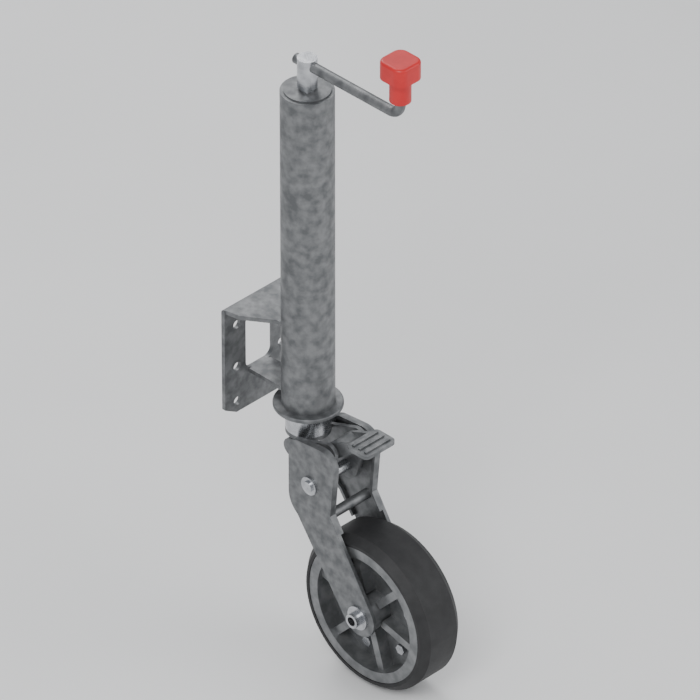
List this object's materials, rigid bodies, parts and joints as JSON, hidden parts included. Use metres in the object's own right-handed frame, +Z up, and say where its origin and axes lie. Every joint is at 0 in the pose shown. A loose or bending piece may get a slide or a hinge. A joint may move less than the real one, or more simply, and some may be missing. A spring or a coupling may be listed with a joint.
{
  "type": "trailer tongue jack",
  "caption": "Screw jack with a bolt-on side bracket, crank handle and telescoping ram carrying a folding forked wheel.",
  "frame": {"origin": "centre of the four outer bolt holes, on the bracket's mounting face", "axes": "+Z up along the tube, +X from the mounting face towards the wheel, Y along the wheel axle"},
  "size_m": [0.3415, 0.124, 0.9675],
  "materials": {
    "galvanised": "galvanised matte",
    "zinc_steel": "zinc plated",
    "brass": "machined",
    "rim_metal": "satin",
    "red_plastic": "moulded",
    "tyre_rubber": "solid rubber"
  },
  "bodies": {
    "housing": {"outer_tube": "galvanised", "bottom_collar": "galvanised", "top_cap": "galvanised", "thrust_bearing": "zinc_steel", "mounting_bracket": "galvanised"},
    "crank": {"spindle": "zinc_steel", "crank_rod": "galvanised", "crank_knob": "red_plastic"},
    "ram": {"ram_tube": "zinc_steel", "ram_nut": "brass", "ram_foot": "galvanised", "ram_cheeks": "galvanised", "latch_pin": "zinc_steel"},
    "pedal": {"foot_pedal": "galvanised"},
    "fork": {"fork_leg_near": "galvanised", "fork_leg_far": "galvanised", "fork_crossbar": "galvanised", "pivot_pin": "zinc_steel", "pivot_spacers": "zinc_steel", "pivot_washers": "zinc_steel", "wheel_axle": "zinc_steel", "axle_washers": "zinc_steel"},
    "wheel": {"tyre": "tyre_rubber", "rim_near": "rim_metal", "rim_far": "rim_metal", "rim_bolts": "zinc_steel", "wheel_hub": "rim_metal", "hub_bushes": "brass"}
  },
  "joints": [
    {"name": "crank_turn", "type": "hinge", "parent": "housing", "child": "crank", "pos_m": [0.095, 0, 0.44], "axis": [0, 0, 1], "range_deg": [0, 22500]},
    {"name": "ram_slide", "type": "slide", "parent": "housing", "child": "ram", "axis": [0, 0, -1], "range_m": [0, 0.2501]},
    {"name": "pedal_press", "type": "hinge", "parent": "ram", "child": "pedal", "pos_m": [0.16, 0, -0.071], "axis": [0, 1, 0], "range_deg": [0, 15], "stiffness_Nm_per_rad": 2, "springref_deg": -17.19},
    {"name": "fork_fold", "type": "hinge", "parent": "ram", "child": "fork", "pos_m": [0.141, 0, -0.124], "axis": [0, -1, 0], "range_deg": [0, 60]},
    {"name": "wheel_spin", "type": "hinge", "parent": "fork", "child": "wheel", "pos_m": [0.229, 0, -0.289], "axis": [0, 1, 0], "continuous": true}
  ],
  "couplings": [
    {"joint": "ram_slide", "follows": "crank_turn", "m_per_rad": 0.00063662}
  ]
}
